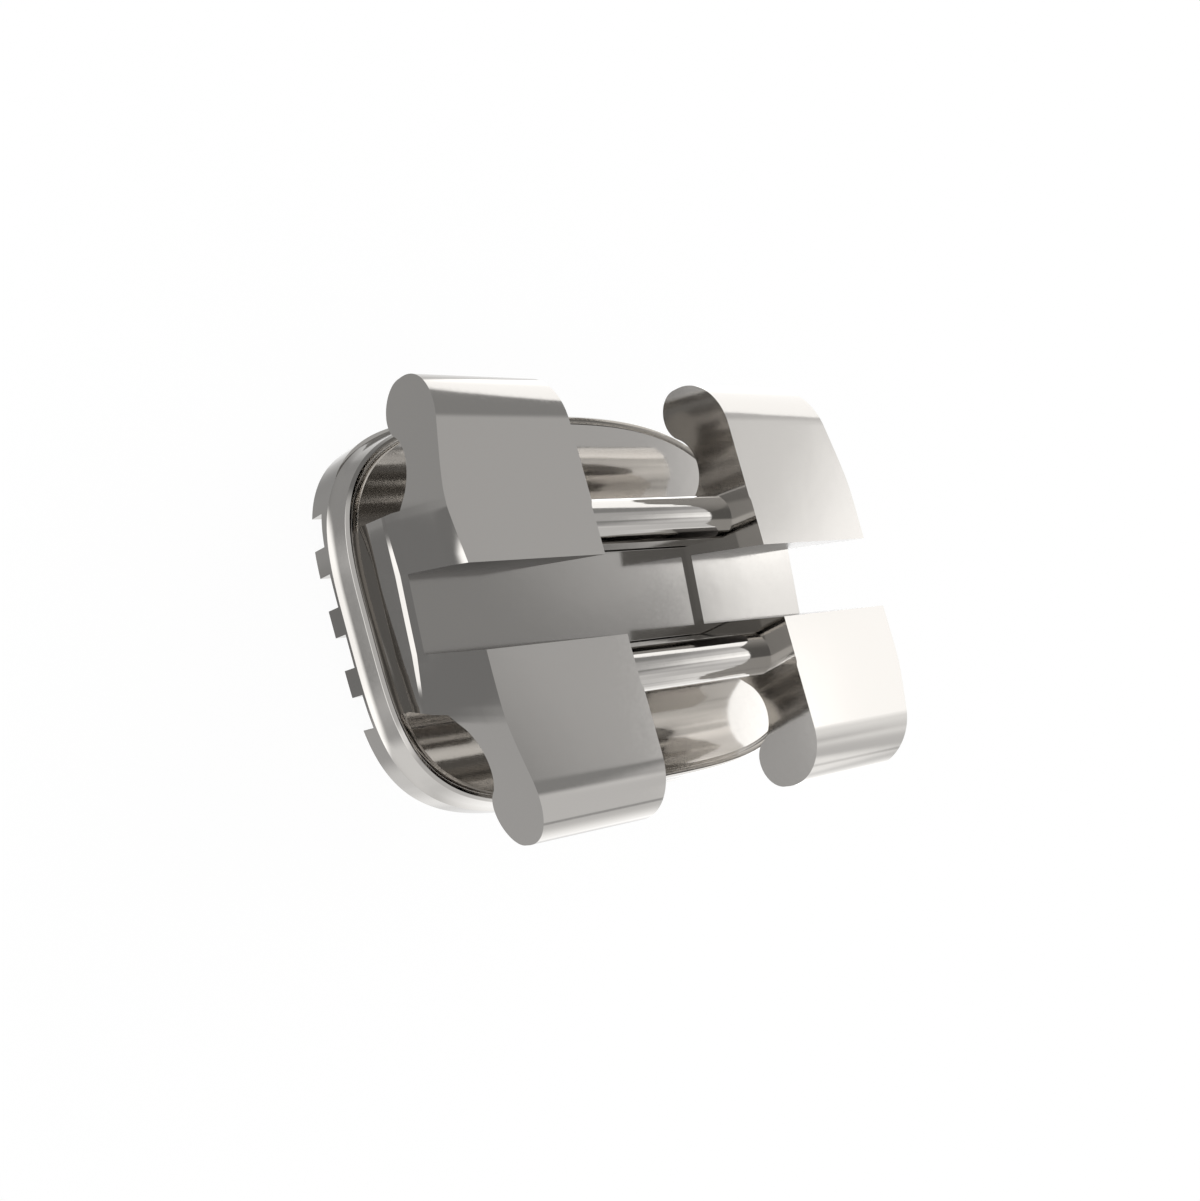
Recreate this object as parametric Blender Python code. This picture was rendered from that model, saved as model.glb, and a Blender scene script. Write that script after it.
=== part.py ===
"""Orthodontic twin bracket, one metal-injection-moulded piece of stainless steel.

Frame: the origin is the middle of the bonding face, +Z points away from the
tooth, +X runs along the archwire slot and +Y up the tooth. Lengths in metres.

The bracket is a rounded bonding pad with a waffle of retention posts behind
it, a body block on its front, and four tie wings. The archwire slot is cut at
the torque angle between the upper and the lower wings, and a middle gap parts
the left pair from the right pair. Two round rails cross the foot of that gap.
Pad, body and wings lean sideways with the tooth's axis, so that the front
view is a rhomboid.
"""
import math

import bmesh
import bpy
import numpy as np

MM = 0.001

# Archwire slot
SLOT_HEIGHT = 0.56 * MM
SLOT_DEPTH = 0.835 * MM
SLOT_TORQUE = math.radians(7.0)
FLOOR_HEIGHT = 1.03 * MM
SLOT_OFFSET = -0.075 * MM

# Tie wings
WING_WIDTH = 3.86 * MM
GAP_WIDTH = 1.51 * MM
WING_SPAN = 3.22 * MM
WING_CENTRE = -0.13 * MM
TIP_RADIUS = 0.43 * MM
LOBE_RADIUS = 0.20 * MM
LOBE_BACK = 1.185 * MM
NECK_PLACE = 1.0 * MM
NECK_FLOOR = 1.42 * MM
NECK_END = 145.0
NECK_SLOPE = math.tan(math.radians(55.0))
SIDE_LEAN = math.tan(math.radians(6.8))
SIDE_DRAFT = math.tan(math.radians(2.3))
TAPER_START = 0.75 * MM
TAPER = math.tan(math.radians(12.8))

# Scoop in each outer side, beside the end of the slot, deeper on the left; it
# keeps its depth down to the sill and runs out by the drop, both under the floor
SCOOP_FRONT = 0.02 * MM
SCOOP_FLOOR_LEFT = 0.045 * MM
SCOOP_FLOOR_RIGHT = 0.02 * MM
SCOOP_SILL = 0.09 * MM
SCOOP_DROP = 0.18 * MM

# Body block and the two rails across the middle gap
BODY_HEIGHT = 1.40 * MM
BODY_DRAFT = math.tan(math.radians(4.0))
RAIL_SPACING = 1.106 * MM
RAIL_RADIUS = 0.17 * MM
RAIL_AXIS = 1.46 * MM
SHELF_DROP = 0.187 * MM
SHELF_SLOPE = 1.3
CHANNEL_HEIGHT = 0.72 * MM
CHANNEL_DROP = 0.06 * MM
RELIEF_DEPTH = 0.025 * MM
RELIEF_HEIGHT = 1.31 * MM
RELIEF_START = 1.61 * MM
RELIEF_STEP = 0.03 * MM

# Bonding pad
PAD_WIDTH = 4.09 * MM
PAD_HEIGHT = 3.13 * MM
PAD_FRONT = 0.60 * MM
PAD_POWER_UPPER = 3.1
PAD_POWER_LOWER = 4.2
RIM_RADIUS = 0.09 * MM
RIM_FOOT = 0.03 * MM
NECK_INSET = 0.12 * MM
GROOVE_WIDTH = 0.06 * MM
GROOVE_DEPTH = 0.04 * MM

# Retention posts behind the pad
POST_DEPTH = 0.165 * MM
POST_LEDGE = 0.17 * MM
POST_INSET = 0.085 * MM
POST_POWER = 3.6
ROW_PITCH = 0.456 * MM
ROW_GROOVE = 0.25 * MM
ROW_SHIFT = 0.052 * MM
COLUMN_GROOVE = 0.11 * MM
COLUMN_PITCH = 0.456 * MM
COLUMN_BORDER = 0.15 * MM
ROW_GROOVES = 4
COLUMN_GROOVES = 8

# Mesh fineness
ARC_STEPS = 8
OUTLINE_STEPS = 72
OVERLAP = 0.12 * MM
REACH = 1.0 * MM
MIN_STEP = 0.01 * MM
SHARP_ANGLE = math.radians(24.0)
FLATNESS = 0.00001 * MM
CUT_SNAP = 0.0005 * MM
OUTLINE_SAMPLES = 2880


def clear_scene():
    """Remove every object, so that the script can be run again."""
    for obj in list(bpy.data.objects):
        bpy.data.objects.remove(obj, do_unlink=True)


def make_collection(name):
    """Return a new collection under the scene's own."""
    collection = bpy.data.collections.new(name)
    bpy.context.scene.collection.children.link(collection)
    return collection


def steel():
    """Return the polished stainless steel of the bracket."""
    material = bpy.data.materials.new("polished stainless steel")
    material.use_nodes = True
    shader = material.node_tree.nodes["Principled BSDF"]
    shader.inputs["Base Color"].default_value = (0.56, 0.54, 0.51, 1.0)
    shader.inputs["Metallic"].default_value = 1.0
    shader.inputs["Roughness"].default_value = 0.18
    return material


def slot_to_part(across, depth):
    """Turn a place in the slot's own section to the part's y and z.

    across is measured from the slot's middle and depth from its floor; the
    slot's axes are turned by the torque about X.
    """
    c = math.cos(SLOT_TORQUE)
    s = math.sin(SLOT_TORQUE)
    return (SLOT_OFFSET + c * across - s * depth, FLOOR_HEIGHT + s * across + c * depth)


def part_to_slot(y, z):
    """Turn the part's y and z to a place in the slot's own section."""
    c = math.cos(SLOT_TORQUE)
    s = math.sin(SLOT_TORQUE)
    dy = y - SLOT_OFFSET
    dz = z - FLOOR_HEIGHT
    return c * dy + s * dz, -s * dy + c * dz


def slot_line(across, height):
    """Return y on the line across = constant, where it is at this height."""
    depth = (height - FLOOR_HEIGHT - math.sin(SLOT_TORQUE) * across) / math.cos(SLOT_TORQUE)
    return slot_to_part(across, depth)[0]


def arc(centre, radius, start, end, steps):
    """Return points on an arc, both ends included, angles in degrees."""
    angles = np.radians(np.linspace(start, end, steps + 1))
    return [(centre[0] + radius * math.cos(a), centre[1] + radius * math.sin(a)) for a in angles]


def face_height():
    """Return how high the flat front of the wings is over the bonding face."""
    return FLOOR_HEIGHT + SLOT_DEPTH


def wing_profile():
    """Return half a section of a wing, from its front face to its neck.

    Each point is its distance from the wings' middle line and its height. A
    large arc turns the front face into the tip, a small one makes the lobe
    behind it, and the neck's hollow arc is tangent to the lobe.
    """
    half = WING_SPAN / 2
    front = (half - TIP_RADIUS, face_height() - TIP_RADIUS)
    lobe = (half - LOBE_RADIUS, LOBE_BACK + LOBE_RADIUS)
    run = lobe[0] - NECK_PLACE
    rise = NECK_FLOOR - lobe[1]
    radius = (run ** 2 + rise ** 2 - LOBE_RADIUS ** 2) / (2 * (LOBE_RADIUS + rise))
    neck = (NECK_PLACE, NECK_FLOOR - radius)
    meet = math.degrees(math.atan2(lobe[1] - neck[1], lobe[0] - neck[0]))
    points = arc(front, TIP_RADIUS, 90, 0, ARC_STEPS)
    points += arc(lobe, LOBE_RADIUS, 0, meet - 180, ARC_STEPS + 2)
    points += arc(neck, radius, meet, NECK_END, ARC_STEPS + 2)[1:]
    return points


def body_foot(side):
    """Return where a body wall goes into the pad, side is 1 above, -1 below."""
    height = PAD_FRONT - OVERLAP
    across = side * (BODY_HEIGHT / 2 - BODY_DRAFT * (FLOOR_HEIGHT - height))
    return slot_line(across, height), height


def body_top(side, neck_end):
    """Return where a body wall meets the slope that comes down from the neck."""
    away, height = neck_end
    y = slot_line(side * BODY_HEIGHT / 2, height)
    gap = away - side * (y - WING_CENTRE)
    height = height - max(gap, MIN_STEP) * NECK_SLOPE
    return slot_line(side * BODY_HEIGHT / 2, height), height


def section():
    """Return the closed section of wings and body, slot included."""
    half = wing_profile()
    top = face_height()
    loop = []
    for side in (-1, 1):
        wing = [(WING_CENTRE + side * a, z) for a, z in half]
        slot_edge = (slot_line(side * SLOT_HEIGHT / 2, top), top)
        slot_foot = slot_to_part(side * SLOT_HEIGHT / 2, 0.0)
        run = [slot_foot, slot_edge] + wing + [body_top(side, half[-1]), body_foot(side)]
        loop += run if side > 0 else run[::-1]
    return loop


def extrude_section(loop, cuts):
    """Return a bmesh prism of a closed y-z loop, its ends at x = -1 and 1.

    cuts are lines in the section, each a point and a normal, along which the
    prism's faces are divided.
    """
    bm = bmesh.new()
    start = [bm.verts.new((-1.0, y, z)) for y, z in loop]
    face = bm.faces.new(start)
    moved = bmesh.ops.extrude_face_region(bm, geom=[face])["geom"]
    for vert in [v for v in moved if isinstance(v, bmesh.types.BMVert)]:
        vert.co.x = 1.0
    for (y, z), (ny, nz) in cuts:
        geom = bm.verts[:] + bm.edges[:] + bm.faces[:]
        bmesh.ops.bisect_plane(bm, geom=geom, dist=CUT_SNAP, plane_co=(0, y, z), plane_no=(0, ny, nz))
    return bm


def slot_cut(across=None, depth=None):
    """Return a dividing line at a constant across or depth in the slot's section."""
    c = math.cos(SLOT_TORQUE)
    s = math.sin(SLOT_TORQUE)
    if across is None:
        return slot_to_part(0.0, depth), (-s, c)
    return slot_to_part(across, 0.0), (c, s)


def lean(y):
    """Return how far the rhomboid leans sideways at this y."""
    return -SIDE_LEAN * y


def side_reach(y, z, scoop):
    """Return the outer side's distance from the middle at this y and z.

    scoop is how deep the hollow beside the slot is at the slot's floor.
    """
    across, depth = part_to_slot(y, z)
    across = abs(across)
    half = WING_WIDTH / 2 - SIDE_DRAFT * (face_height() - z)
    half -= TAPER * max(across - TAPER_START, 0.0)
    share = (TAPER_START - across) / (TAPER_START - SLOT_HEIGHT / 2)
    share = min(max(share, 0.0), 1.0)
    if depth >= 0.0:
        hollow = scoop + (SCOOP_FRONT - scoop) * min(depth / SLOT_DEPTH, 1.0)
    else:
        hollow = scoop * min(max((SCOOP_DROP + depth) / (SCOOP_DROP - SCOOP_SILL), 0.0), 1.0)
    return half - share * hollow


def gap_reach(y, z):
    """Return the half width of the middle gap at this y and z."""
    across, _ = part_to_slot(y, z)
    share = min(max((RELIEF_HEIGHT / 2 - abs(across)) / RELIEF_STEP, 0.0), 1.0)
    rise = max((z - RELIEF_START) / (face_height() - RELIEF_START), 0.0)
    return GAP_WIDTH / 2 + RELIEF_DEPTH * share * rise


def split_bent_faces(bm):
    """Divide every face that isn't flat into triangles, so that a cut through it is exact."""
    bm.normal_update()
    bent = []
    for face in bm.faces:
        middle = face.calc_center_median()
        if max(abs((vert.co - middle).dot(face.normal)) for vert in face.verts) > FLATNESS:
            bent.append(face)
    bmesh.ops.triangulate(bm, faces=bent)


def finish(name, bm, collection, material):
    """Turn a bmesh into an object of the collection, its faces pointing out."""
    bmesh.ops.recalc_face_normals(bm, faces=bm.faces[:])
    mesh = bpy.data.meshes.new(name)
    bm.to_mesh(mesh)
    bm.free()
    mesh.materials.append(material)
    obj = bpy.data.objects.new(name, mesh)
    collection.objects.link(obj)
    return obj


def wings_and_body(collection, material):
    """Make the full-width solid of wings and body, its sides drafted."""
    half = SLOT_HEIGHT / 2
    cuts = [slot_cut(across=a) for a in (-TAPER_START, -half, half, TAPER_START)]
    cuts += [slot_cut(depth=d) for d in (-SCOOP_DROP, -SCOOP_SILL, 0.0, SLOT_DEPTH / 2)]
    bm = extrude_section(section(), cuts)
    for vert in bm.verts:
        x, y, z = vert.co
        scoop = SCOOP_FLOOR_LEFT if x < 0 else SCOOP_FLOOR_RIGHT
        vert.co.x = math.copysign(side_reach(y, z, scoop), x) + lean(y)
    split_bent_faces(bm)
    return finish("wings", bm, collection, material)


def gap_cutter(collection, material):
    """Make the cutter of the middle gap, which leaves the rails at its foot."""
    far = WING_SPAN / 2 + REACH
    top = face_height() + REACH
    low = (LOBE_BACK + PAD_FRONT) / 2
    wall = RAIL_SPACING / 2 + RAIL_RADIUS
    shelf = RAIL_AXIS - SHELF_DROP
    loop = []
    for side in (-1, 1):
        rail = (WING_CENTRE + side * RAIL_SPACING / 2, RAIL_AXIS)
        start, end = (180, 0) if side > 0 else (0, 180)
        run = [slot_to_part(side * CHANNEL_HEIGHT / 2, -CHANNEL_DROP)]
        run += arc(rail, RAIL_RADIUS, start, end, ARC_STEPS + 2)
        run.append((WING_CENTRE + side * wall, shelf))
        run.append((WING_CENTRE + side * (wall + SHELF_SLOPE * (shelf - low)), low))
        run.append((WING_CENTRE + side * far, low))
        run.append((WING_CENTRE + side * far, top))
        loop += run if side > 0 else run[::-1]
    half = RELIEF_HEIGHT / 2
    edges = (-half, RELIEF_STEP - half, half - RELIEF_STEP, half)
    cuts = [slot_cut(across=a) for a in edges]
    cuts.append(((0.0, RELIEF_START), (0.0, 1.0)))
    bm = extrude_section(loop, cuts)
    for vert in bm.verts:
        _, y, z = vert.co
        vert.co.x = math.copysign(gap_reach(y, z), vert.co.x) + lean(y)
    split_bent_faces(bm)
    return finish("gap cutter", bm, collection, material)


def outline(width, height, upper):
    """Return a closed outline of these half sizes, as points an even step apart.

    It is a superellipse that leans with the wings. upper is its power above
    the middle; below it, where it is fuller, pad and posts share one power.
    """
    turn = np.linspace(0.0, 2 * math.pi, OUTLINE_SAMPLES + 1)
    c = np.cos(turn)
    s = np.sin(turn)
    power = np.where(s >= 0, 2 / upper, 2 / PAD_POWER_LOWER)
    x = width * np.sign(c) * np.abs(c) ** power
    y = height * np.sign(s) * np.abs(s) ** power
    length = np.concatenate(([0.0], np.cumsum(np.hypot(np.diff(x), np.diff(y)))))
    even = np.linspace(0.0, length[-1], OUTLINE_STEPS, endpoint=False)
    x = np.interp(even, length, x)
    y = np.interp(even, length, y)
    return np.column_stack((x + lean(y), y))


def pad_outline(inset):
    """Return the pad's outline, drawn in by inset."""
    return outline(PAD_WIDTH / 2 - inset, PAD_HEIGHT / 2 - inset, PAD_POWER_UPPER)


def loft(levels):
    """Return a bmesh solid through outlines at rising levels, each (outline, z)."""
    bm = bmesh.new()
    rings = []
    for points, z in levels:
        rings.append([bm.verts.new((x, y, z)) for x, y in points])
    for lower, upper in zip(rings, rings[1:]):
        for i in range(OUTLINE_STEPS):
            j = (i + 1) % OUTLINE_STEPS
            bm.faces.new((lower[i], lower[j], upper[j], upper[i]))
    bm.faces.new(rings[0][::-1])
    bm.faces.new(rings[-1])
    return bm


def pad(collection, material):
    """Make the pad, its rounded rim, the groove inside it and the neck below it.

    The neck goes down into the layer of posts, and the rim stands out over it,
    which leaves the fine undercut line between pad and posts.
    """
    ledge = POST_DEPTH + POST_LEDGE
    levels = [(NECK_INSET, ledge - POST_LEDGE / 2), (NECK_INSET, ledge + RIM_FOOT / 4)]
    levels.append((0.0, ledge + RIM_FOOT))
    for turn in np.radians(np.linspace(0.0, 90.0, ARC_STEPS - 2)):
        inset = RIM_RADIUS * (1 - math.cos(turn))
        levels.append((inset, PAD_FRONT - RIM_RADIUS * (1 - math.sin(turn))))
    levels.append((RIM_RADIUS + GROOVE_WIDTH / 2, PAD_FRONT - GROOVE_DEPTH))
    levels.append((RIM_RADIUS + GROOVE_WIDTH, PAD_FRONT))
    return finish("pad", loft([(pad_outline(inset), z) for inset, z in levels]), collection, material)


def posts(collection, material):
    """Make the layer behind the pad that the grooves part into posts.

    The grooves are POST_DEPTH deep and leave a plain ledge next to the pad.
    """
    points = outline(PAD_WIDTH / 2 - POST_INSET, PAD_HEIGHT / 2, POST_POWER)
    bm = loft([(points, 0.0), (points, POST_DEPTH + POST_LEDGE)])
    return finish("posts", bm, collection, material)


def groove_cutter(name, count, pitch, width, shift, upright, collection, material):
    """Make a row of bars that cut the grooves between the posts."""
    bm = bmesh.new()
    length = 2 * PAD_WIDTH
    for i in range(count):
        place = shift + (i - (count - 1) / 2) * pitch
        bar = bmesh.ops.create_cube(bm, size=1.0)["verts"]
        size = (width, length, 2 * POST_DEPTH) if upright else (length, width, 2 * POST_DEPTH)
        move = (place, 0.0, 0.0) if upright else (0.0, place, 0.0)
        bmesh.ops.scale(bm, vec=size, verts=bar)
        bmesh.ops.translate(bm, vec=move, verts=bar)
        if upright:
            for vert in bar:
                vert.co.x += lean(vert.co.y)
    return finish(name, bm, collection, material)


def column_cutter(collection, material):
    """Make the upright bars, which stop COLUMN_BORDER short of the layer's outer wall."""
    columns = (COLUMN_GROOVES, COLUMN_PITCH, COLUMN_GROOVE, 0.0, True)
    bars = groove_cutter("column cutter", *columns, collection, material)
    inset = POST_INSET + COLUMN_BORDER
    points = outline(PAD_WIDTH / 2 - inset, PAD_HEIGHT / 2 - COLUMN_BORDER, POST_POWER)
    field = finish("column field", loft([(points, -REACH), (points, REACH)]), collection, material)
    boolean(bars, field, "INTERSECT")
    return bars


def boolean(target, other, operation):
    """Cut the other object from the target, join it, or keep what the two share."""
    other.hide_render = True
    other.display_type = "WIRE"
    modifier = target.modifiers.new(operation.lower(), "BOOLEAN")
    modifier.operation = operation
    modifier.solver = "EXACT"
    modifier.object = other
    bpy.context.view_layer.update()
    bake(target)


def bake(obj):
    """Put the object's evaluated mesh in place of its modifiers."""
    graph = bpy.context.evaluated_depsgraph_get()
    mesh = bpy.data.meshes.new_from_object(obj.evaluated_get(graph))
    obj.modifiers.clear()
    obj.data = mesh


def main():
    """Build the bracket as one solid."""
    clear_scene()
    parts = make_collection("orthodontic bracket")
    cutters = make_collection("cutters")
    material = steel()

    bracket = wings_and_body(parts, material)
    bracket.name = "bracket"
    rows = (ROW_GROOVES, ROW_PITCH, ROW_GROOVE, ROW_SHIFT, False)
    tools = [
        (gap_cutter(cutters, material), "DIFFERENCE"),
        (pad(cutters, material), "UNION"),
        (posts(cutters, material), "UNION"),
        (groove_cutter("row cutter", *rows, cutters, material), "DIFFERENCE"),
        (column_cutter(cutters, material), "DIFFERENCE"),
    ]
    for tool, operation in tools:
        boolean(bracket, tool, operation)
    bracket.data.shade_smooth()
    bracket.data.set_sharp_from_angle(angle=SHARP_ANGLE)


main()
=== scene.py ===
"""Looks of the orthodontic bracket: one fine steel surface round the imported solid, and a studio.

The bracket is one piece of polished stainless steel: a bonding pad with retention posts behind it,
a body block with a torqued archwire slot, four tie wings and two rails across the middle gap. Its
parts are worked out in millimetres as arrays, joined into one solid, and brought to metres.
"""
from __future__ import annotations

import logging
import math
from dataclasses import dataclass, field
from enum import Enum
from typing import Iterable, Sequence

import bmesh
import bpy
import numpy as np
from mathutils import Euler, Matrix, Vector

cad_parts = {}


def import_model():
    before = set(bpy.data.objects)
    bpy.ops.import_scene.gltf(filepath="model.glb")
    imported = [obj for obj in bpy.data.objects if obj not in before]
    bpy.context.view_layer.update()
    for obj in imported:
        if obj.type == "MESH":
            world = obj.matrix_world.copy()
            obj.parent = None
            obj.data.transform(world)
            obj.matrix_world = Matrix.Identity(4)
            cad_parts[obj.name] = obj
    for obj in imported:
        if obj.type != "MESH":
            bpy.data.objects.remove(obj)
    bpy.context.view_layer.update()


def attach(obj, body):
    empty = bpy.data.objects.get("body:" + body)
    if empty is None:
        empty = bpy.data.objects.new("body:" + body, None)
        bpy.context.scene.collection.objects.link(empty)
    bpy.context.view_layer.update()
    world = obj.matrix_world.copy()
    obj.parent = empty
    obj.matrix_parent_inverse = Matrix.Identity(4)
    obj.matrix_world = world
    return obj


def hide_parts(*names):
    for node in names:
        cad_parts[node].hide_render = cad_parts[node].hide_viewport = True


LOG = logging.getLogger("bracket")
MM = 0.001
SAME_PLACE_DIGITS = 6
JOIN_GAP_MM = 0.0004
BEVEL_ANGLE = math.radians(9.0)
SMOOTH_ANGLE = math.radians(46.0)
LARGE_FACES_LEAD = 100

# the sockets of a Mix node by number: its share, then its two values and its two colours, each with
# what comes out of them
SHARE = 0
VALUE_A, VALUE_B, VALUE_OUT = 2, 3, 0
COLOUR_A, COLOUR_B, COLOUR_OUT = 6, 7, 2


class Side(Enum):
    """The two ends of the bracket along the slot, and the sign of x there."""

    LEFT = -1
    RIGHT = 1


class Half(Enum):
    """The wings above and below the slot, and the sign of y there."""

    LOWER = -1
    UPPER = 1


def linear(colour: str) -> tuple[float, float, float, float]:
    """Turn an sRGB hex colour to linear red, green, blue and a full alpha.

    Args:
        colour: six hex digits, with or without a hash before them.

    Returns:
        The four values a colour socket takes.
    """
    digits = colour.lstrip("#")
    srgb = np.array([int(digits[i:i + 2], 16) for i in (0, 2, 4)]) / 255.0
    low = srgb / 12.92
    high = ((srgb + 0.055) / 1.055) ** 2.4
    red, green, blue = np.where(srgb <= 0.04045, low, high)
    return float(red), float(green), float(blue), 1.0


def add_node(tree: bpy.types.NodeTree, kind: str, settings: dict | None = None,
             links: dict | None = None, **inputs: object) -> bpy.types.Node:
    """Add a node with its settings, socket values and links.

    Args:
        tree: the node tree it goes in.
        kind: the node's type name, such as ShaderNodeMath.
        settings: attributes of the node itself.
        links: input socket, by name or number, to the output socket that feeds it.
        inputs: socket values; an underscore stands for a space in a socket's name.

    Returns:
        The new node.
    """
    node = tree.nodes.new(kind)
    for name, value in (settings or {}).items():
        setattr(node, name, value)
    for name, value in inputs.items():
        node.inputs[name.replace("_", " ")].default_value = value
    for name, socket in (links or {}).items():
        tree.links.new(socket, node.inputs[name])
    return node


@dataclass(frozen=True)
class Slot:
    """The archwire slot, whose section is turned about x by the torque. Lengths in millimetres."""

    height: float = 0.56
    torque: float = math.radians(7.0)
    floor: float = 1.03
    offset: float = -0.075

    def to_part(self, across: np.ndarray, depth: np.ndarray) -> np.ndarray:
        """Turn places in the slot's section to the part's y and z, by a turn of the torque.

        Args:
            across: distance from the slot's middle line.
            depth: height over the slot's floor.

        Returns:
            An array whose last axis holds y and z.
        """
        c, s = math.cos(self.torque), math.sin(self.torque)
        across, depth = np.broadcast_arrays(across, depth)
        y = self.offset + c * across - s * depth
        z = self.floor + s * across + c * depth
        return np.stack((y, z), axis=-1)

    def to_slot(self, points: np.ndarray) -> tuple[np.ndarray, np.ndarray]:
        """Turn the part's y and z to places in the slot's section.

        Args:
            points: an array whose last axis holds y and z.

        Returns:
            The distance from the slot's middle line, and the height over its floor.
        """
        c, s = math.cos(self.torque), math.sin(self.torque)
        dy, dz = points[..., 0] - self.offset, points[..., 1] - self.floor
        return c * dy + s * dz, c * dz - s * dy

    def depth_at(self, across: np.ndarray, height: float) -> np.ndarray:
        """Return the depth at which a line of constant across is at this height."""
        return (height - self.floor - math.sin(self.torque) * across) / math.cos(self.torque)


@dataclass(frozen=True)
class Sides:
    """The outer sides of wings and body, and the walls of the middle gap. Lengths in millimetres."""

    slot: Slot
    front: float
    width: float = 3.86
    gap: float = 1.51
    lean: float = math.tan(math.radians(6.8))
    draft: float = math.tan(math.radians(2.3))
    taper_start: float = 0.75
    taper: float = math.tan(math.radians(12.8))
    taper_round: float = 0.16
    scoop_front: float = 0.012
    scoop_left: float = 0.045
    scoop_right: float = 0.02
    scoop_drops: tuple[float, ...] = (0.0, 0.105, 0.155, 0.34)
    scoop_shares: tuple[float, ...] = (1.0, 1.0, 0.60, 0.0)
    worn_depth: float = 0.04
    worn_height: float = 0.25
    worn_start: float = 0.64
    relief: float = 0.012
    relief_height: float = 1.31
    relief_start: float = 1.61
    relief_step: float = 0.03

    def outer(self, points: np.ndarray, side: Side) -> np.ndarray:
        """Return x of the outer side at these places of the section.

        The side is a plane with draft. Past taper_start it leans in, with a soft bend: the distance
        past it, t, becomes (t + sqrt(t t + r r)) / 2. Beside the slot it is hollowed. The hollow is
        bilinear: it grows from the taper's line to the slot's edge, and from the front to the
        slot's floor. Under the floor it keeps its depth down to a sill, and runs out below it on
        a steep slope and a gentle one. The front corner above the slot's left end is polished
        round: it falls back with the square of the height over the corner's foot.

        Args:
            points: an array whose last axis holds y and z.
            side: the left or the right end of the bracket.

        Returns:
            One x for each place.
        """
        across, depth = self.slot.to_slot(points)
        upper, across = across > 0.0, np.abs(across)
        half = self.width / 2 - self.draft * (self.front - points[..., 1])
        past = across - self.taper_start
        half = half - self.taper * (past + np.hypot(past, self.taper_round)) / 2
        share = np.clip((self.taper_start - across) / (self.taper_start - self.slot.height / 2), 0.0, 1.0)
        deepest = self.scoop_left if side is Side.LEFT else self.scoop_right
        whole = self.front - self.slot.floor
        above = deepest + (self.scoop_front - deepest) * np.minimum(depth / whole, 1.0)
        below = deepest * np.interp(-depth, self.scoop_drops, self.scoop_shares)
        hollow = share * np.where(depth >= 0.0, above, below)
        if side is Side.LEFT:
            near = np.clip((self.worn_start - across) / (self.worn_start - self.slot.height / 2), 0.0, 1.0)
            rise = np.clip(1.0 - (self.front - points[..., 1]) / self.worn_height, 0.0, 1.0)
            hollow = hollow + np.where(upper, self.worn_depth * near * rise ** 2, 0.0)
        return side.value * (half - hollow) - self.lean * points[..., 0]

    def inner(self, points: np.ndarray, side: Side) -> np.ndarray:
        """Return x of the gap's wall, with its shallow relief next to the slot at the front.

        Args:
            points: an array whose last axis holds y and z.
            side: the left or the right wall.

        Returns:
            One x for each place.
        """
        across, _ = self.slot.to_slot(points)
        share = np.clip((self.relief_height / 2 - np.abs(across)) / self.relief_step, 0.0, 1.0)
        rise = np.maximum((points[..., 1] - self.relief_start) / (self.front - self.relief_start), 0.0)
        return side.value * (self.gap / 2 + self.relief * share * rise) - self.lean * points[..., 0]


class Patchwork:
    """A flat figure in the y-z plane, pieced together from grids."""

    def __init__(self) -> None:
        """Start with no faces."""
        self.points: list[np.ndarray] = []
        self.faces: list[np.ndarray] = []
        self.count = 0

    def add_grid(self, grid: np.ndarray) -> None:
        """Add a grid of places as four-sided faces.

        Args:
            grid: y and z of the places, shaped rows by columns by two.
        """
        rows, columns = grid.shape[:2]
        index = self.count + np.arange(rows * columns).reshape(rows, columns)
        corners = (index[:-1, :-1], index[:-1, 1:], index[1:, 1:], index[1:, :-1])
        self.faces += list(np.stack(corners, axis=-1).reshape(-1, 4))
        self.points.append(grid.reshape(-1, 2))
        self.count += rows * columns

    def merged(self) -> tuple[np.ndarray, list[np.ndarray]]:
        """Make one of the places that round alike, and let all faces turn one way.

        A face's turn is the sign of its area by the shoelace sum.

        Returns:
            The places, and the corners of each face.
        """
        places = np.concatenate(self.points)
        rounded = np.round(places, SAME_PLACE_DIGITS)
        _, first, back = np.unique(rounded, axis=0, return_index=True, return_inverse=True)
        back = back.ravel()
        kept = places[first]
        faces = []
        for face in self.faces:
            ring = back[face]
            ring = ring[ring != np.roll(ring, 1)]
            if len(ring) < 3:
                continue
            y, z = kept[ring].T
            area = float(np.sum(y * np.roll(z, -1) - z * np.roll(y, -1)))
            faces.append(ring if area > 0 else ring[::-1])
        return kept, faces


def boundary(faces: Sequence[np.ndarray]) -> np.ndarray:
    """Find the directed edges that only one face uses.

    Args:
        faces: the corners of each face, in order round it.

    Returns:
        An array of two columns, the start and the end of each edge.
    """
    edges = np.concatenate([np.stack((face, np.roll(face, -1)), axis=1) for face in faces])
    size = int(edges.max()) + 1
    codes = edges[:, 0] * size + edges[:, 1]
    return edges[~np.isin(codes, edges[:, 1] * size + edges[:, 0])]


def make_object(name: str, vertices: np.ndarray, faces: Iterable[np.ndarray]) -> bpy.types.Object:
    """Make a mesh object of these corners and faces and put it in the scene.

    Args:
        name: the object's name.
        vertices: one row of x, y and z for each corner.
        faces: the corners of each face, in order round it.

    Returns:
        The new object, its normals pointing out.
    """
    mesh = bpy.data.meshes.new(name)
    mesh.from_pydata(vertices.tolist(), [], [face.tolist() for face in faces])
    cage = bmesh.new()
    cage.from_mesh(mesh)
    bmesh.ops.recalc_face_normals(cage, faces=cage.faces[:])
    cage.to_mesh(mesh)
    cage.free()
    made = bpy.data.objects.new(name, mesh)
    bpy.context.scene.collection.objects.link(made)
    return made


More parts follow.
